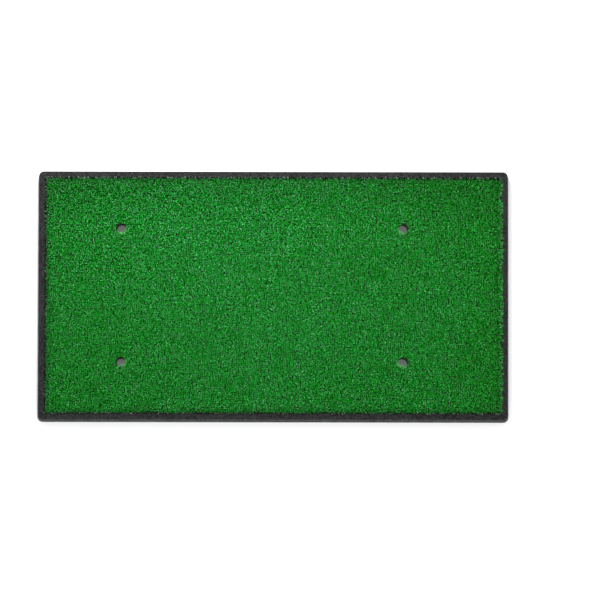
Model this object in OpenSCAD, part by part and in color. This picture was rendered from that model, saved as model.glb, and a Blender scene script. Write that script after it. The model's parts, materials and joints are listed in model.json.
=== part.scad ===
// Golf hitting mat: a moulded black rubber base with a panel of tufted green turf glued into it.
// Millimetres, +Z up. The origin is on the ground under the middle of the base.
// X runs left to right, Y front to back, and the front edge is the one at -Y.

/* [Rubber base] */
// Length of the base over its foot, left to right
base_length = 609.6; // [500:0.1:700]
// Depth of the base over its foot, front to back
base_depth = 329; // [290:0.5:400]
// Height of the raised rim above the ground
rim_height = 14; // [11:0.5:20]
// Width of the rim's top, from its outer edge to the recess
rim_width = 8; // [6:0.5:14]
// How far the outer wall leans out between the rim's top and the foot
wall_flare = 1; // [0.5:0.1:4]
// Radius of the outer corners at the rim's top, seen from above
corner_r = 6; // [3:0.5:9]
// Radius of the rounded lip along the rim's outer edge
lip_r = 1.5; // [0.5:0.1:2.5]
// Chamfer along the rim's inner edge
inner_chamfer = 0.8; // [0.2:0.1:1.5]
// Chamfer along the bottom of the outer wall
foot_chamfer = 1; // [0.3:0.1:2]
// Thickness of the rubber under the turf
floor_thickness = 6.5; // [5:0.5:9]

/* [Tee holes] */
// Diameter of each tee hole through the rubber
tee_hole_d = 13; // [9:0.5:16]
// Distance between the left and right tee holes
tee_spacing_x = 363; // [300:1:420]
// Distance between the front and back tee holes
tee_spacing_y = 176; // [120:1:220]
// How far the four holes sit to the right of the middle, negative for left
tee_shift_x = -14.5; // [-25:0.5:25]
// Diameter of the pocket under each hole that takes a tee's flange
pocket_d = 52; // [36:1:56]
// Depth of that pocket
pocket_depth = 2.5; // [1.5:0.5:3.5]

/* [Underside grip] */
// Number of grip pads between the left and right tee holes
pads_between_x = 12; // [8:1:16]
// Number of grip pads between the front and back tee holes
pads_between_y = 6; // [4:1:8]
// Width of the grooves between the pads
groove_width = 4; // [2:0.5:6]
// Depth of the grooves
groove_depth = 1; // [0.5:0.1:1.5]
// Width of the flat band left around the underside
band_width = 14; // [10:1:24]

/* [Turf panel] */
// Gap between the cut edge of the turf and the rim
turf_gap = 0.8; // [0.2:0.1:2]
// Diameter of the holes cut in the turf panel
turf_hole_d = 14; // [10:0.5:18]
// How far the glue stops short of the turf's edges and holes
glue_margin = 2; // [1:0.5:5]
// Thickness of the glue under the turf
glue_thickness = 0.4; // [0.3:0.1:1]
// Thickness of the latex coat on the back of the turf
latex_thickness = 1.2; // [0.8:0.1:2]
// Thickness of the woven cloth that holds the tufts
cloth_thickness = 0.6; // [0.4:0.1:1]
// Height of the tufts above the cloth
pile_height = 8.3; // [5:0.1:14]

/* [Hidden] */
$fn = 96;
cut = 0.5;

foot_r = corner_r + wall_flare;
corner_x = base_length / 2 - foot_r;
corner_y = base_depth / 2 - foot_r;

recess_x = corner_x + corner_r - rim_width;
recess_y = corner_y + corner_r - rim_width;
turf_x = recess_x - turf_gap;
turf_y = recess_y - turf_gap;

glue_z = floor_thickness;
latex_z = glue_z + glue_thickness;
cloth_z = latex_z + latex_thickness;
pile_z = cloth_z + cloth_thickness;

// The lip's centre in the wall's section, and the angle at which the leaning wall meets it
lip_u = corner_r - lip_r;
lip_v = rim_height - lip_r;
lean_u = foot_r - lip_u;
lean_v = foot_chamfer - lip_v;
wall_angle = atan2(lean_v, lean_u) + acos(lip_r / norm([lean_u, lean_v]));

pad_x = tee_spacing_x / pads_between_x;
pad_y = tee_spacing_y / pads_between_y;
band_x = base_length / 2 - band_width;
band_y = base_depth / 2 - band_width;

// Copies its children to the four tee holes
module at_tee_holes() {
  for (x = [-1, 1], y = [-1, 1])
    translate([tee_shift_x + x * tee_spacing_x / 2, y * tee_spacing_y / 2, 0])
      children();
}

// A flat sheet of the given half sizes, with a round hole at each tee hole
module holed_sheet(half_x, half_y, thickness, hole_d) {
  difference() {
    translate([-half_x, -half_y, 0])
      cube([2 * half_x, 2 * half_y, thickness]);
    at_tee_holes()
      translate([0, 0, -cut])
        cylinder(h = thickness + 2 * cut, d = hole_d);
  }
}

// Section of the outer wall, from the line of the corner centres out to the foot
module wall_section() {
  polygon([
    [0, 0],
    [foot_r - foot_chamfer, 0],
    [foot_r, foot_chamfer],
    [lip_u + lip_r * cos(wall_angle), lip_v + lip_r * sin(wall_angle)],
    [lip_u, lip_v],
    [lip_u, rim_height],
    [0, rim_height]
  ]);
  intersection() {
    translate([lip_u, lip_v])
      circle(r = lip_r);
    polygon([
      [lip_u, lip_v],
      [lip_u + 2 * lip_r * cos(wall_angle), lip_v + 2 * lip_r * sin(wall_angle)],
      [lip_u + 3 * lip_r, lip_v + 3 * lip_r],
      [lip_u, lip_v + 2 * lip_r]
    ]);
  }
}

// One straight outer wall, of the given length, standing out along +X
module wall(length) {
  rotate([90, 0, 0])
    translate([0, 0, -length / 2])
      linear_extrude(height = length)
        wall_section();
}

// The whole outer body before the recess is made
module body_block() {
  translate([-corner_x, -corner_y, 0])
    cube([2 * corner_x, 2 * corner_y, rim_height]);
  for (side = [0, 180]) {
    rotate([0, 0, side])
      translate([corner_x, 0, 0])
        wall(2 * corner_y);
    rotate([0, 0, side + 90])
      translate([corner_y, 0, 0])
        wall(2 * corner_x);
  }
  for (turn = [0:3])
    translate([(turn == 0 || turn == 3 ? 1 : -1) * corner_x, (turn < 2 ? 1 : -1) * corner_y, 0])
      rotate([0, 0, 90 * turn])
        rotate_extrude(angle = 90)
          wall_section();
}

// The recess that the turf lies in, with the chamfer along its upper edge
module recess() {
  translate([-recess_x, -recess_y, floor_thickness])
    cube([2 * recess_x, 2 * recess_y, rim_height]);
  side = inner_chamfer * sqrt(2);
  for (y = [-1, 1])
    translate([0, y * recess_y, rim_height])
      rotate([45, 0, 0])
        cube([2 * (recess_x + cut), side, side], center = true);
  for (x = [-1, 1])
    translate([x * recess_x, 0, rim_height])
      rotate([0, 45, 0])
        cube([side, 2 * (recess_y + cut), side], center = true);
}

// Crossing grooves that leave square grip pads on the underside
module grip_grooves() {
  first_x = tee_shift_x + (0.5 - floor((band_x + tee_shift_x) / pad_x)) * pad_x;
  first_y = (0.5 - floor(band_y / pad_y)) * pad_y;
  for (x = [first_x : pad_x : band_x - groove_width])
    translate([x - groove_width / 2, -band_y, -cut])
      cube([groove_width, 2 * band_y, groove_depth + cut]);
  for (y = [first_y : pad_y : band_y - groove_width])
    translate([-band_x, y - groove_width / 2, -cut])
      cube([2 * band_x, groove_width, groove_depth + cut]);
}

module rubber_base() {
  color([0.13, 0.13, 0.135])
    difference() {
      body_block();
      recess();
      grip_grooves();
      at_tee_holes() {
        translate([0, 0, -cut])
          cylinder(h = pocket_depth + cut, d = pocket_d);
        translate([0, 0, -cut])
          cylinder(h = floor_thickness + 2 * cut, d = tee_hole_d);
      }
    }
}

module glue_film() {
  color([0.72, 0.68, 0.55])
    translate([0, 0, glue_z])
      holed_sheet(turf_x - glue_margin, turf_y - glue_margin, glue_thickness, turf_hole_d + 2 * glue_margin);
}

module latex_coat() {
  color([0.2, 0.2, 0.2])
    translate([0, 0, latex_z])
      holed_sheet(turf_x, turf_y, latex_thickness, turf_hole_d);
}

module backing_cloth() {
  color([0.3, 0.33, 0.25])
    translate([0, 0, cloth_z])
      holed_sheet(turf_x, turf_y, cloth_thickness, turf_hole_d);
}

module turf_pile() {
  color([0.12, 0.45, 0.16])
    translate([0, 0, pile_z])
      holed_sheet(turf_x, turf_y, pile_height, turf_hole_d);
}

rubber_base();
glue_film();
latex_coat();
backing_cloth();
turf_pile();
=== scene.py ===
import json
import math

import bmesh
import bpy
import numpy as np
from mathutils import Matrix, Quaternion, Vector


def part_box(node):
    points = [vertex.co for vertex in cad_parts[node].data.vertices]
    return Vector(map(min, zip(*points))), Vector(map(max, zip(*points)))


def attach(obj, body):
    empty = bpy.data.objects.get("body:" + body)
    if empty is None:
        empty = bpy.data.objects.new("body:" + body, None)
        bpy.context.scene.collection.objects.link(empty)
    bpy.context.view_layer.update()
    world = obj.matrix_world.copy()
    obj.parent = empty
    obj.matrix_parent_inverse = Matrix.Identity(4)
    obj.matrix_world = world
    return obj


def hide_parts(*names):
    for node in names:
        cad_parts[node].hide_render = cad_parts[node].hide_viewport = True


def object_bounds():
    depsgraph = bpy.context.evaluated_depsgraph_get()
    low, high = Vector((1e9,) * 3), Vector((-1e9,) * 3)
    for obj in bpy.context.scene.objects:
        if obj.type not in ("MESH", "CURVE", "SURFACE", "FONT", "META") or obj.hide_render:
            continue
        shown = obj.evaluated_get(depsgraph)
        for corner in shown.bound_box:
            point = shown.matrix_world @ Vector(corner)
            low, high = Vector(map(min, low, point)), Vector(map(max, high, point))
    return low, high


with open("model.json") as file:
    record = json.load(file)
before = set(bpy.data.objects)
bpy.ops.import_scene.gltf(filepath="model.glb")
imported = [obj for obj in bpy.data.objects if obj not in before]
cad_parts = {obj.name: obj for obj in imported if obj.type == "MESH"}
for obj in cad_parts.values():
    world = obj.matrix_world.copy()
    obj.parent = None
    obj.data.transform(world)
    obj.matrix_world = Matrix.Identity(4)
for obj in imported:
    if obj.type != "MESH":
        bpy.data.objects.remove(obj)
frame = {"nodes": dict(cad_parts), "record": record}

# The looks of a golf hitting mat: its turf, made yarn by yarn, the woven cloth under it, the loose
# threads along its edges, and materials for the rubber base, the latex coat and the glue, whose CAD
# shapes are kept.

CAD_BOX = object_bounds()
MM = 0.001

# The radius of the holes in the cloth and in the pile, in metres as every size here is. The panel's
# outline and the holes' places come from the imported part.
CLOTH_HOLE_R = 7.0 * MM
PILE_HOLE_R = 6.7 * MM
# How many yarns a tuft has along X and along Y, how far apart they are, and how far a yarn and a tuft
# can be out of place.
YARNS_PER_TUFT = (3, 3)
YARN_PITCH = 0.92 * MM
YARN_JITTER = YARN_PITCH / 2
TUFT_JITTER = 1.0 * MM
# How much of its tuft's jitter a tip takes on, how far tips draw in to the middle of their tuft, and
# how far out from that middle the roots stand on the way to the tips, all as shares.
TIP_FOLLOWS = 0.4
TUFT_DRAW = 0.16
ROOT_SPREAD = 0.55
# The long waves in the rows of tufts: how far each carries them, how many there are, and their length.
WANDER = 0.45 * MM
WANDER_WAVES = 8
WANDER_LENGTH = (12 * MM, 26 * MM)

# Each yarn's stations along its length, and its width there as a share: the tip is the narrowest.
YARN_STATIONS = (0.0, 0.5, 0.74, 0.89, 1.0)
YARN_TAPER = (1.8, 1.3, 1.0, 0.9, 0.75)
YARN_WIDTH = (0.50 * MM, 0.75 * MM)
# Each yarn's height as a share of the pile's, how far its tip bends over, and its curl's radius and
# number of turns.
YARN_HEIGHT = (0.8, 1.0)
YARN_REACH = (0.3 * MM, 1.0 * MM)
CURL_RADIUS = (0.1 * MM, 0.4 * MM)
CURL_TURNS = (1.0, 2.2)
# How sharply a yarn bends over near its tip, and how quickly it rises out of its tuft.
BEND_POWER = 3.5
RISE_POWER = 2.2
# How far ribbons tilt at their ends and twist on the way down: standard deviations, in radians.
END_TILT = 0.35
YARN_TWIST = 1.6
THREAD_TWIST = 1.2

# The pile is made in this many tiles along X and Y, so that no one mesh is too large.
TILES = (5, 2)
# The mesh attribute that tells how far along its ribbon a point is.
ALONG = "along_ribbon"

# How much is shorn off each edge of the pile, and how far the yarns there bend outwards: left, right,
# front, back. The bend fades out over EDGE_REACH.
EDGE_TRIM = (1.0 * MM, 0.0, 0.6 * MM, 0.2 * MM)
EDGE_PUSH = (0.0, 3.2 * MM, 0.0, 0.0)
EDGE_REACH = 5.0 * MM
# The same at the holes. The nap leans into a hole from the front, and a little from the panel's
# middle, by an amount that varies from yarn to yarn.
HOLE_PUSH = 2.4 * MM
HOLE_REACH = 3.2 * MM
NAP_FROM_FRONT = 0.7
NAP_FROM_MIDDLE = 0.4
LEAN_SHARE = (0.4, 1.6)
# How much further out and back the turf's holes are cut than the rubber's.
HOLE_ASTRAY = np.array([1.4, 0.4]) * MM
# How much lower the pile is at the panel's edges, over what distance it rises to its full height, and
# how hollow that slope is.
EDGE_DROP = 3.0 * MM
EDGE_ROUND = 9.0 * MM
DROP_POWER = 1.5

# The rim's inner edge, which yarns bend over: its gap to the turf, its chamfer, its height above the
# latex coat's foot, how clear of it the yarns pass, and how far short of it they start to.
RIM_GAP = 0.8 * MM
RIM_CHAMFER = 0.8 * MM
RIM_OVER_LATEX = 7.1 * MM
RIM_CLEARANCE = 0.15 * MM
RIM_APPROACH = 0.1 * MM

# Loose ends of the backing's tape yarn that stand up along each edge, per metre: left, right, front,
# back.
THREADS_PER_METRE = (300, 520, 640, 860)
THREAD_STATIONS = (0.0, 0.35, 0.6, 0.8, 1.0)
THREAD_TAPER = (1, 1, 1, 1, 0.7)
THREAD_WIDTH = (0.3 * MM, 0.7 * MM)
# How high they stand, the share by which that varies and how quickly they rise, how far in from the cut
# edge they start, how far out they can bend, and how far they stray sideways.
THREAD_RISE = 7.4 * MM
THREAD_RISE_SHARE = (0.9, 1.08)
THREAD_RISE_POWER = 1.6
THREAD_INSET = 0.9 * MM
THREAD_REACH = 3.0 * MM
THREAD_STRAY = 0.8 * MM

# The woven cloth: the pitch of its tapes, and how raggedly its edges are cut.
TAPE_PITCH = 1.5 * MM
CUT_WANDER = 0.25 * MM


def seeded(name):
    """A random source of its own for each part of the object, the same on every run."""
    return np.random.default_rng(sum(ord(c) * (i + 1) for i, c in enumerate(name)))


# ---------------------------------------------------------------- camera, floor and light

CAMERA_DISTANCE = 20.0
CAMERA_ELEVATION = math.radians(79.5)
CAMERA_ROLL = math.radians(0.12)
FRAME_WIDTH = 0.7774
AIM = Vector((0.0348, -0.0045, 0.007))

ROOM_STRENGTH = 0.8
KEY_PLACE = (-0.12, 0.83, 0.72)
KEY_TARGET = (-0.02, 0.04, 0)
KEY_POWER = 17.8
KEY_WIDTH = 0.3
KEY_COLOUR = (1, 0.99, 0.97)
FILL_PLACE = (0.2, -2.6, 1.1)
FILL_POWER = 3.8
FILL_ANGLE = math.radians(35)
FILL_COLOUR = (0.97, 0.98, 1)

FLOOR_RADIUS = 14.0
FLOOR_SIDES = 96
FLOOR_GAP = 0.2 * MM


def make_camera():
    data = bpy.data.cameras.new("camera")
    data.sensor_width = 36
    data.lens = data.sensor_width * CAMERA_DISTANCE / FRAME_WIDTH
    camera = bpy.data.objects.new("camera", data)
    bpy.context.collection.objects.link(camera)
    away = Vector((0, -math.cos(CAMERA_ELEVATION), math.sin(CAMERA_ELEVATION)))
    camera.location = AIM + CAMERA_DISTANCE * away
    camera.rotation_mode = "QUATERNION"
    camera.rotation_quaternion = away.to_track_quat("Z", "Y") @ Quaternion((0, 0, 1), CAMERA_ROLL)
    data.clip_start = 0.1
    data.clip_end = 60
    bpy.context.scene.camera = camera


def make_lamp(kind, name, place, target, power, colour):
    data = bpy.data.lights.new(name, kind)
    data.energy = power
    data.color = colour
    lamp = bpy.data.objects.new(name, data)
    bpy.context.collection.objects.link(lamp)
    lamp.location = place
    lamp.rotation_mode = "QUATERNION"
    lamp.rotation_quaternion = (Vector(place) - Vector(target)).to_track_quat("Z", "Y")
    return data


def make_light():
    """A white room, a round soft box behind the mat, and a broad fill from the front."""
    world = bpy.data.worlds.new("studio")
    world.use_nodes = True
    background = world.node_tree.nodes["Background"]
    background.inputs["Color"].default_value = (1, 1, 1, 1)
    background.inputs["Strength"].default_value = ROOM_STRENGTH
    bpy.context.scene.world = world
    key = make_lamp("AREA", "key", KEY_PLACE, KEY_TARGET, KEY_POWER, KEY_COLOUR)
    key.shape = "DISK"
    key.size = KEY_WIDTH
    fill = make_lamp("SUN", "fill", FILL_PLACE, (0, 0, 0), FILL_POWER, FILL_COLOUR)
    fill.angle = FILL_ANGLE
    bpy.context.scene.view_settings.view_transform = "Standard"


def make_floor():
    mesh = bpy.data.meshes.new("floor")
    angles = [2 * math.pi * i / FLOOR_SIDES for i in range(FLOOR_SIDES)]
    ring = [(FLOOR_RADIUS * math.cos(a), FLOOR_RADIUS * math.sin(a), 0) for a in angles]
    mesh.from_pydata(ring, [], [tuple(range(FLOOR_SIDES))])
    floor = bpy.data.objects.new("floor", mesh)
    bpy.context.collection.objects.link(floor)
    floor.location.z = CAD_BOX[0][2] - FLOOR_GAP
    mesh.materials.append(floor_material())


# ---------------------------------------------------------------- materials


class Nodes:
    """A material's node tree, with short ways to add and join nodes."""

    def __init__(self, name):
        self.material = bpy.data.materials.new(name)
        self.material.use_nodes = True
        self.tree = self.material.node_tree
        self.shader = self.tree.nodes["Principled BSDF"]

    def add(self, kind, inputs=None, **settings):
        made = self.tree.nodes.new(kind)
        for key, value in settings.items():
            setattr(made, key, value)
        for key, value in (inputs or {}).items():
            self.feed(made.inputs[key], value)
        return made

    def feed(self, socket, value):
        if isinstance(value, bpy.types.NodeSocket):
            self.tree.links.new(value, socket)
        else:
            socket.default_value = value

    def place(self):
        """Where the point is on the object, in metres."""
        return self.add("ShaderNodeTexCoord").outputs["Object"]

    def noise(self, scale, detail=2.0, roughness=0.5):
        return self.add(
            "ShaderNodeTexNoise",
            {"Vector": self.place(), "Scale": scale, "Detail": detail, "Roughness": roughness},
        ).outputs["Fac"]

    def spread(self, value, low, high, to_low=0.0, to_high=1.0):
        """value stretched from low..high to to_low..to_high, and held there outside it."""
        return self.add(
            "ShaderNodeMapRange",
            {"Value": value, "From Min": low, "From Max": high, "To Min": to_low, "To Max": to_high},
        ).outputs["Result"]

    def sums(self, operation, first, second=0.0, third=0.0):
        return self.add(
            "ShaderNodeMath", {0: first, 1: second, 2: third}, operation=operation
        ).outputs[0]

    def mix(self, share, first, second, blend="MIX"):
        made = self.add("ShaderNodeMix", data_type="RGBA", blend_type=blend)
        self.feed(made.inputs["Factor"], share)
        self.feed(made.inputs[6], first)
        self.feed(made.inputs[7], second)
        return made.outputs[2]

    def ramp(self, value, stops):
        made = self.add("ShaderNodeValToRGB", {"Fac": value})
        elements = made.color_ramp.elements
        while len(elements) < len(stops):
            elements.new(0.5)
        for element, (at, colour) in zip(elements, stops):
            element.position = at
            element.color = colour
        return made.outputs["Color"]

    def bump(self, height, strength, distance, over=None):
        inputs = {"Height": height, "Strength": strength, "Distance": distance}
        if over is not None:
            inputs["Normal"] = over
        return self.add("ShaderNodeBump", inputs).outputs["Normal"]

    def shade(self, **inputs):
        for key, value in inputs.items():
            self.feed(self.shader.inputs[key.replace("_", " ").title().replace("Ior", "IOR")], value)
        return self.material


def floor_material():
    n = Nodes("floor_paper")
    tone = n.mix(n.noise(3.0), (0.90, 0.90, 0.90, 1), (0.92, 0.92, 0.92, 1))
    return n.shade(base_color=tone, roughness=0.9, specular_ior_level=0.1)


def rubber_material():
    """Moulded black rubber: fine pitted grain, cloudy and mottled tone, and a little dust."""
    n = Nodes("moulded_rubber")
    clouds = n.noise(38.0, 3.0)
    grain = n.noise(1500.0, 3.0, 0.6)
    pits = n.noise(620.0, 1.0)
    dust = n.spread(n.noise(260.0, 4.0, 0.7), 0.6, 0.75)
    mottle = n.spread(n.noise(450.0, 1.0), 0.44, 0.56)
    paleness = n.sums("MULTIPLY_ADD", mottle, 0.7, n.sums("MULTIPLY_ADD", clouds, 0.3, 0.1))
    tone = n.mix(paleness, (0.0, 0.0, 0.0, 1), (0.018, 0.0184, 0.0188, 1))
    tone = n.mix(n.sums("MULTIPLY", dust, 0.3), tone, (0.075, 0.075, 0.072, 1))
    roughness = n.spread(n.noise(90.0, 3.0), 0.3, 0.7, 0.44, 0.6)
    relief = n.bump(grain, 0.5, 0.2 * MM)
    relief = n.bump(n.spread(pits, 0.3, 0.5), 0.6, 0.3 * MM, relief)
    return n.shade(base_color=tone, roughness=roughness, normal=relief, specular_ior_level=0.1)


def latex_material():
    n = Nodes("latex_coat")
    tone = n.mix(n.noise(150.0, 3.0), (0.02, 0.02, 0.02, 1), (0.045, 0.045, 0.042, 1))
    relief = n.bump(n.noise(700.0, 3.0), 0.5, 0.2 * MM)
    return n.shade(base_color=tone, roughness=0.8, normal=relief, specular_ior_level=0.3)


def glue_material():
    n = Nodes("contact_glue")
    tone = n.mix(n.noise(120.0, 3.0), (0.42, 0.34, 0.17, 1), (0.58, 0.5, 0.31, 1))
    relief = n.bump(n.noise(400.0, 2.0), 0.6, 0.2 * MM)
    return n.shade(base_color=tone, roughness=0.35, normal=relief, specular_ior_level=0.5)


def cloth_material():
    """Flat-woven tape cloth."""
    n = Nodes("woven_backing")
    place = n.place()
    # A wave texture of scale 1 repeats 20 / (2 pi) times in a metre.
    per_metre = 2 * math.pi / 20 / TAPE_PITCH
    bands = [
        n.add(
            "ShaderNodeTexWave",
            {"Vector": place, "Scale": per_metre, "Distortion": 0.6, "Detail": 1.0},
            bands_direction=direction,
        ).outputs["Fac"]
        for direction in ("X", "Y")
    ]
    weave = n.sums("MULTIPLY", bands[0], bands[1])
    tone = n.mix(weave, (0.008, 0.016, 0.006, 1), (0.03, 0.06, 0.022, 1))
    return n.shade(base_color=tone, roughness=0.6, normal=n.bump(weave, 0.6, 0.3 * MM))


# Painted light: the middle of the pool of light and sheen painted on the turf, where it is palest and
# bluest, and the distances from there over which that fades out.
LIT_SPOT_ON_TURF = (-0.05, 0.05, 0.012)
LIT_SPOT_REACH = (0.03, 0.38)
# Painted shade: how far in from the panel's edges the pile is darker, from where to where, and how dark
# it gets: both ends, front, back.
SHADED_ENDS = (18 * MM, 2 * MM, 0.87)
SHADED_FRONT = (14 * MM, 2 * MM, 0.93)
SHADED_BACK = (62 * MM, 8 * MM, 0.78)


def yarn_material():
    """Green ribbon yarn: each ribbon has its own shade of green; painted shade darkens it towards its
    root, low in the pile and near the panel's edges, and a painted pool of pale bluish light lies
    behind the middle.
    """
    n = Nodes("turf_yarn")
    own = n.add("ShaderNodeNewGeometry").outputs["Random Per Island"]
    shade = n.ramp(
        own,
        [
            (0.0, (0.000, 0.250, 0.000, 1)),
            (0.35, (0.002, 0.420, 0.006, 1)),
            (0.65, (0.022, 0.570, 0.050, 1)),
            (0.88, (0.085, 0.640, 0.150, 1)),
            (1.0, (0.240, 0.720, 0.310, 1)),
        ],
    )
    x, y, height = n.add("ShaderNodeSeparateXYZ", {"Vector": n.place()}).outputs
    # Painted shade: the pile is darker low down, and every ribbon is darker below its tip, as the yarns
    # shade one another.
    foot, top = pile_levels()
    painted_shading = n.sums("POWER", n.spread(height, foot, top, 0.2, 1.0), 1.2)
    along = n.add("ShaderNodeAttribute", attribute_name=ALONG).outputs["Fac"]
    painted_shading = n.sums("MULTIPLY", painted_shading, n.spread(along, 0.6, 0.9, 0.38, 1.0))
    half_x, half_y = panel_half_size()
    # Painted shade: the pile darkens towards the panel's ends, front and back.
    for outwards, half, (start, end, darkest) in (
        (n.sums("ABSOLUTE", x), half_x, SHADED_ENDS),
        (n.sums("MULTIPLY", y, -1), half_y, SHADED_FRONT),
        (y, half_y, SHADED_BACK),
    ):
        edge_shade = n.spread(outwards, half - start, half - end, 1.0, darkest)
        painted_shading = n.sums("MULTIPLY", painted_shading, edge_shade)
    grey = n.add("ShaderNodeCombineColor", {0: painted_shading, 1: painted_shading, 2: painted_shading}).outputs[0]
    # Painted light: a pool of paler, bluer light and sheen is painted on the pile behind the middle and
    # left of it, and random patches are mixed into it.
    to_lit_spot = n.add("ShaderNodeVectorMath", {0: n.place(), 1: LIT_SPOT_ON_TURF}, operation="DISTANCE")
    light_pool_and_patches = n.spread(to_lit_spot.outputs["Value"], *LIT_SPOT_REACH, 1, 0)
    light_pool_and_patches = n.sums("ADD", light_pool_and_patches, n.spread(n.noise(7.0), 0.3, 0.7, -0.2, 0.2))
    light_tint = n.mix(light_pool_and_patches, (0.80, 0.90, 0.72, 1), (1.16, 1.07, 1.30, 1))
    tone = n.mix(1.0, n.mix(1.0, shade, grey, "MULTIPLY"), light_tint, "MULTIPLY")
    return n.shade(base_color=tone, roughness=0.5, specular_ior_level=0.08)


def thread_material():
    """Loose ends of the backing's pale tape yarn, dusty green-grey."""
    n = Nodes("pale_thread")
    own = n.add("ShaderNodeNewGeometry").outputs["Random Per Island"]
    tone = n.ramp(
        own,
        [
            (0.0, (0.02, 0.07, 0.03, 1)),
            (0.5, (0.05, 0.12, 0.06, 1)),
            (1.0, (0.22, 0.30, 0.23, 1)),
        ],
    )
    return n.shade(base_color=tone, roughness=0.6, specular_ior_level=0.3)


# ---------------------------------------------------------------- turf


def pile_levels():
    """The heights of the pile's foot and top."""
    low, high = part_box("turf_pile")
    return low[2], high[2]


def panel_half_size():
    """Half of the turf panel's length and of its depth."""
    low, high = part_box("turf_pile")
    return (high[0] - low[0]) / 2, (high[1] - low[1]) / 2


def tee_holes():
    """The four holes' centres."""
    return np.array(
        [m["pos_m"][:2] for m in frame["record"]["mounts"] if m["name"].startswith("tee_hole")]
    )


def from_nearest_hole(points):
    """Each point's distance from the middle of its nearest hole in the pile, and the way there."""
    outwards = np.sign(tee_holes()[:, :1]) * (1, 0) + (0, 1)
    to_holes = (tee_holes() + outwards * HOLE_ASTRAY)[None] - points[:, None]
    far = np.linalg.norm(to_holes, axis=2)
    nearest = far.argmin(1)
    rows = np.arange(len(points))
    return far[rows, nearest], to_holes[rows, nearest] / far[rows, nearest][:, None]


def new_piece(name, mesh, material):
    mesh.materials.append(material)
    piece = bpy.data.objects.new(name, mesh)
    bpy.context.collection.objects.link(piece)
    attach(piece, "root")
    return piece


def ribbon_cells(count, stations):
    """Where each ribbon's faces lie in the UV map. Every ribbon has a narrow upright cell of its own,
    and keeps a tenth of the cell's width and a twentieth of its height clear on each side."""
    columns = math.ceil(math.sqrt(3 * count))
    rows = math.ceil(count / columns)
    ribbon = np.arange(count)
    left = (ribbon % columns + 0.1) / columns
    foot = (ribbon // columns + 0.05) / rows
    along = foot[:, None] + np.linspace(0, 0.9, stations)[None] / rows
    sides = np.stack([left, left + 0.8 / columns], axis=1)
    u = np.broadcast_to(sides[:, None], (count, stations - 1, 2))
    low, high = along[:, :-1], along[:, 1:]
    corners = [(u[..., 0], low), (u[..., 1], low), (u[..., 1], high), (u[..., 0], high)]
    return np.stack([np.stack(pair, axis=-1) for pair in corners], axis=2)


def ribbon_mesh(name, centres, across, shares, material):
    """A mesh of flat ribbons. centres and across are (ribbon, station, xyz): the middle line, and
    the vector from it to one edge. shares tells how far along the ribbon each station is."""
    count, stations = centres.shape[:2]
    vertices = np.stack([centres - across, centres + across], axis=2).reshape(-1, 3)
    first = 2 * (np.arange(count)[:, None] * stations + np.arange(stations - 1)[None]).reshape(-1)
    corners = np.stack([first, first + 1, first + 3, first + 2], axis=1)
    mesh = bpy.data.meshes.new(name)
    mesh.vertices.add(len(vertices))
    mesh.vertices.foreach_set("co", vertices.astype(np.float32).ravel())
    mesh.loops.add(corners.size)
    mesh.loops.foreach_set("vertex_index", corners.astype(np.int32).ravel())
    mesh.polygons.add(len(corners))
    mesh.polygons.foreach_set("loop_start", np.arange(0, corners.size, 4, dtype=np.int32))
    mesh.polygons.foreach_set("use_smooth", np.ones(len(corners), bool))
    # A UV map in which every ribbon has a cell of its own, for colours to be baked into.
    cells = mesh.uv_layers.new(name="OFBake")
    cells.data.foreach_set("uv", ribbon_cells(count, stations).astype(np.float32).ravel())
    along = mesh.attributes.new(ALONG, "FLOAT", "POINT")
    along.data.foreach_set("value", np.tile(np.repeat(shares, 2), count).astype(np.float32))
    mesh.update(calc_edges=True)
    mesh.validate()
    return new_piece(name, mesh, material)


def row_wander(rng, points):
    """The points carried sideways by a few long waves, as the rows of tufts wander. Each wave slides
    the rows along its own crests, so it never crowds them."""
    moved = points.copy()
    for _ in range(WANDER_WAVES):
        bearing, phase = rng.uniform(0, 2 * math.pi, 2)
        length = rng.uniform(*WANDER_LENGTH)
        crossing = np.array([math.cos(bearing), math.sin(bearing)])
        along_crest = np.array([-crossing[1], crossing[0]])
        slide = WANDER * np.sin(2 * math.pi * (points @ crossing) / length + phase)
        moved += slide[..., None] * along_crest
    return moved


def yarn_tips(rng, half_x, half_y):
    """Where each yarn ends, evenly over the panel, and the middle of the tuft that it belongs to."""
    half = np.array([half_x, half_y])
    per_tuft = np.array(YARNS_PER_TUFT)
    tuft_pitch = YARN_PITCH * per_tuft
    # There is a spare tuft past each edge, so that wandering rows leave no bare edge.
    counts = (np.ceil(2 * half / tuft_pitch).astype(int) + 2) * per_tuft
    corner = -counts * YARN_PITCH / 2
    cells = np.stack(np.meshgrid(*[np.arange(count) for count in counts]), axis=-1).reshape(-1, 2)
    tips = corner + (cells + 0.5) * YARN_PITCH + rng.uniform(-YARN_JITTER, YARN_JITTER, cells.shape)
    tuft = cells // per_tuft
    astray = rng.uniform(-TUFT_JITTER, TUFT_JITTER, (*(tuft.max(0) + 1), 2))[tuft[:, 0], tuft[:, 1]]
    tufts = corner + (tuft + 0.5) * tuft_pitch + astray
    tips += TIP_FOLLOWS * astray
    tips += TUFT_DRAW * (tufts - tips)
    tips, tufts = row_wander(rng, np.stack([tips, tufts]))
    kept = (abs(tufts) < half).all(1) & (from_nearest_hole(tips)[0] > PILE_HOLE_R)
    for room, trim in zip(room_to_edges(tips, half_x, half_y), EDGE_TRIM):
        kept &= room > trim
    return tips[kept], tufts[kept]


def room_to_edges(points, half_x, half_y):
    """Each point's distance from the panel's left, right, front and back edges."""
    x, y = points[..., 0], points[..., 1]
    return np.stack([half_x + x, half_x - x, half_y + y, half_y - y])


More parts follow.
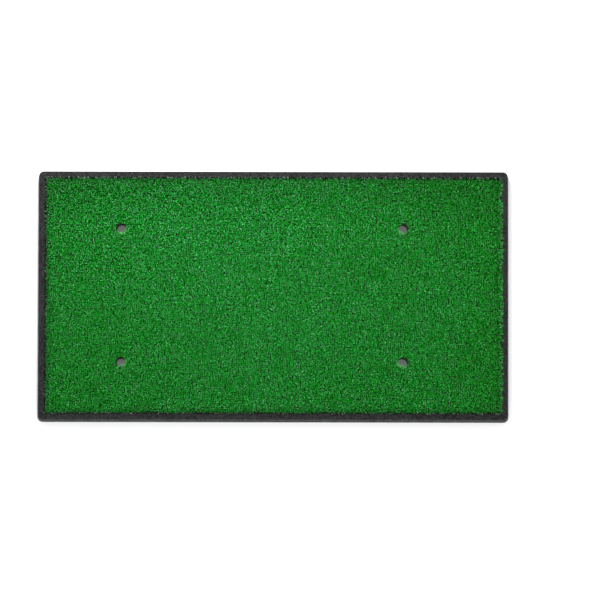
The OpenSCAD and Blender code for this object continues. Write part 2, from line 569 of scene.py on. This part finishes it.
def edge_lean(rng, roots, half_x, half_y):
    """How yarns near the panel's edges and holes bend over them, where no neighbour holds them up."""
    lean = np.zeros_like(roots)
    for side, (gap, push) in enumerate(zip(room_to_edges(roots, half_x, half_y), EDGE_PUSH)):
        near = np.clip(1 - gap / EDGE_REACH, 0, 1)
        lean[:, side // 2] += near * push * (1 if side % 2 else -1)
    far, inwards = from_nearest_hole(roots)
    near = np.clip(1 - (far - PILE_HOLE_R) / HOLE_REACH, 0, 1)
    from_middle = inwards[:, 0] * np.sign(roots[:, 0])
    near *= np.clip(NAP_FROM_FRONT * inwards[:, 1] + NAP_FROM_MIDDLE * from_middle, 0, 1)
    near *= rng.uniform(*LEAN_SHARE, len(roots))
    return lean + inwards * (near * HOLE_PUSH)[:, None]


def over_rim(paths, half_x, half_y):
    """The paths with whatever reaches past the recess lifted clear of the rim's inner edge."""
    out = -room_to_edges(paths, half_x, half_y).min(0) - RIM_GAP
    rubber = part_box("latex_coat")[0][2] + RIM_OVER_LATEX + np.clip(out - RIM_CHAMFER, -RIM_CHAMFER, 0)
    lifted = np.maximum(paths[..., 2], rubber + RIM_CLEARANCE)
    paths[..., 2] = np.where(out > -RIM_APPROACH, lifted, paths[..., 2])
    return paths


def yarn_paths(rng, tips, tufts, half_x, half_y):
    """The curled middle line of every yarn: up out of its tuft, then bending over at its tip."""
    count = len(tips)
    s = np.array(YARN_STATIONS)[None]
    foot, top = pile_levels()
    dip = np.clip(1 - room_to_edges(tips, half_x, half_y).min(0) / EDGE_ROUND, 0, 1)
    height = (top - foot - EDGE_DROP * dip**DROP_POWER) * rng.uniform(*YARN_HEIGHT, count)
    bearing = rng.uniform(0, 2 * math.pi, count)
    reach = rng.uniform(*YARN_REACH, count)
    lean = np.stack([np.cos(bearing), np.sin(bearing)], axis=1) * reach[:, None]
    lean += edge_lean(rng, tips, half_x, half_y)
    curl = rng.uniform(*CURL_RADIUS, count)
    turns = rng.uniform(*CURL_TURNS, count) * rng.choice([-1, 1], count)
    phase = rng.uniform(0, 2 * math.pi, count)
    angle = 2 * math.pi * turns[:, None] * s + phase[:, None]
    swing = np.stack([np.cos(angle), np.sin(angle)], axis=2)
    roots = tufts + ROOT_SPREAD * (tips - tufts)
    bend = lean[:, None] * (s**BEND_POWER)[..., None]
    flat = roots[:, None] + (tips - roots)[:, None] * s[..., None] + bend
    flat += swing * curl[:, None, None] * s[..., None]
    rise = foot + height[:, None] * (1 - (1 - s) ** RISE_POWER)
    return over_rim(np.concatenate([flat, rise[..., None]], axis=2), half_x, half_y)


def ribbon_across(rng, paths, width, taper, twist):
    """From each station's middle to the ribbon's edge. A ribbon's end lies level, square to the way
    it bends over, and the ribbon twists from there down to its root."""
    count, stations = paths.shape[:2]
    ahead = np.gradient(paths, axis=1)
    ahead /= np.linalg.norm(ahead, axis=2, keepdims=True)
    over = paths[:, -1] - paths[:, -3]
    side = np.cross(over, (0, 0, 1))[:, None]
    side = side - ahead * (side * ahead).sum(2, keepdims=True)
    side /= np.linalg.norm(side, axis=2, keepdims=True)
    other = np.cross(ahead, side)
    from_tip = 1 - np.linspace(0, 1, stations)[None]
    roll = rng.normal(0, END_TILT, count)[:, None] + rng.normal(0, twist, count)[:, None] * from_tip
    half = rng.uniform(*width, count)[:, None, None] / 2
    facing = np.cos(roll)[..., None] * side + np.sin(roll)[..., None] * other
    return half * np.array(taper)[None, :, None] * facing


def make_turf():
    """The pile, yarn by yarn, in tiles."""
    half_x, half_y = panel_half_size()
    rng = seeded("turf")
    tips, tufts = yarn_tips(rng, half_x, half_y)
    paths = yarn_paths(rng, tips, tufts, half_x, half_y)
    across = ribbon_across(rng, paths, YARN_WIDTH, YARN_TAPER, YARN_TWIST)
    column = ((tufts[:, 0] + half_x) / (2 * half_x) * TILES[0]).astype(int)
    row = ((tufts[:, 1] + half_y) / (2 * half_y) * TILES[1]).astype(int)
    yarn = yarn_material()
    tiles = []
    for i in range(TILES[0]):
        for j, half in enumerate(("front", "back")):
            own = (column == i) & (row == j)
            tile = ribbon_mesh(f"turf_{half}_{i + 1}", paths[own], across[own], YARN_STATIONS, yarn)
            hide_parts("turf_pile")
            tiles.append(tile)
    return tiles


# ---------------------------------------------------------------- backing cloth


def cut_line(rng, points):
    """The points with the wander of a knife cut across woven tapes."""
    return points + rng.uniform(-CUT_WANDER, CUT_WANDER, points.shape)


def panel_outline(rng, half_x, half_y):
    """Points round the panel's cut edge, one at each tape."""
    corners = np.array([(-half_x, -half_y), (half_x, -half_y), (half_x, half_y), (-half_x, half_y)])
    sides = []
    for start, end in zip(corners, np.roll(corners, -1, axis=0)):
        steps = round(np.linalg.norm(end - start) / TAPE_PITCH)
        sides.append(start + (end - start) * (np.arange(steps) / steps)[:, None])
    return cut_line(rng, np.concatenate(sides))


def hole_outline(rng, middle):
    """Points round the cut edge of one hole, one at each tape."""
    steps = round(2 * math.pi * CLOTH_HOLE_R / TAPE_PITCH)
    angle = np.linspace(0, 2 * math.pi, steps, endpoint=False)
    return cut_line(rng, middle + CLOTH_HOLE_R * np.stack([np.cos(angle), np.sin(angle)], axis=1))


def make_backing_cloth():
    """The woven cloth that the tufts are stitched through: a thin sheet with the holes cut in it."""
    half_x, half_y = panel_half_size()
    low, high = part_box("backing_cloth")
    rng = seeded("backing_cloth")
    loops = [panel_outline(rng, half_x - CUT_WANDER, half_y - CUT_WANDER)]
    loops += [hole_outline(rng, middle) for middle in tee_holes()]
    build = bmesh.new()
    edges = []
    for loop in loops:
        ring = [build.verts.new((x, y, low[2])) for x, y in loop]
        edges += [build.edges.new(pair) for pair in zip(ring, ring[1:] + ring[:1])]
    bmesh.ops.triangle_fill(build, edges=edges, use_beauty=True, use_dissolve=False, normal=(0, 0, 1))
    sheet = bmesh.ops.extrude_face_region(build, geom=list(build.faces))["geom"]
    risen = [item for item in sheet if isinstance(item, bmesh.types.BMVert)]
    bmesh.ops.translate(build, verts=risen, vec=(0, 0, high[2] - low[2]))
    bmesh.ops.recalc_face_normals(build, faces=build.faces)
    mesh = bpy.data.meshes.new("backing_cloth_sheet")
    build.to_mesh(mesh)
    build.free()
    cloth = new_piece("backing_cloth_sheet", mesh, cloth_material())
    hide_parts("backing_cloth")
    return cloth


def thread_paths(rng, side, half_x, half_y):
    """Loose threads along one side: up between the pile and the rim, then out over the rim."""
    across_panel = side < 2
    half_out, half_along = (half_x, half_y) if across_panel else (half_y, half_x)
    count = round(2 * half_along * THREADS_PER_METRE[side])
    s = np.array(THREAD_STATIONS)[None]
    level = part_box("backing_cloth")[1][2]
    reach = rng.uniform(0.0, THREAD_REACH, count)[:, None]
    stray = rng.normal(0, THREAD_STRAY, count)[:, None]
    out = half_out - THREAD_INSET + reach * s**3
    along = rng.uniform(-half_along, half_along, count)[:, None] + stray * s
    height = THREAD_RISE * rng.uniform(*THREAD_RISE_SHARE, count)[:, None]
    up = level + height * (1 - (1 - s) ** THREAD_RISE_POWER)
    out *= 1 if side % 2 else -1
    return np.stack([out, along, up] if across_panel else [along, out, up], axis=2)


def make_threads():
    """The loose threads along all four sides, as one piece."""
    half_x, half_y = panel_half_size()
    rng = seeded("threads")
    paths = np.concatenate([thread_paths(rng, side, half_x, half_y) for side in range(4)])
    across = ribbon_across(rng, paths, THREAD_WIDTH, THREAD_TAPER, THREAD_TWIST)
    threads = ribbon_mesh("frayed_threads", paths, across, THREAD_STATIONS, thread_material())
    return threads


def finish_cad_nodes():
    """Better materials for the pieces whose CAD shape is right."""
    for name, material in (
        ("rubber_base", rubber_material()),
        ("latex_coat", latex_material()),
        ("glue_film", glue_material()),
    ):
        for slot in frame["nodes"][name].material_slots:
            slot.material = material


make_camera()
make_floor()
make_light()
finish_cad_nodes()
turf = make_turf()
threads = make_threads()
cloth = make_backing_cloth()
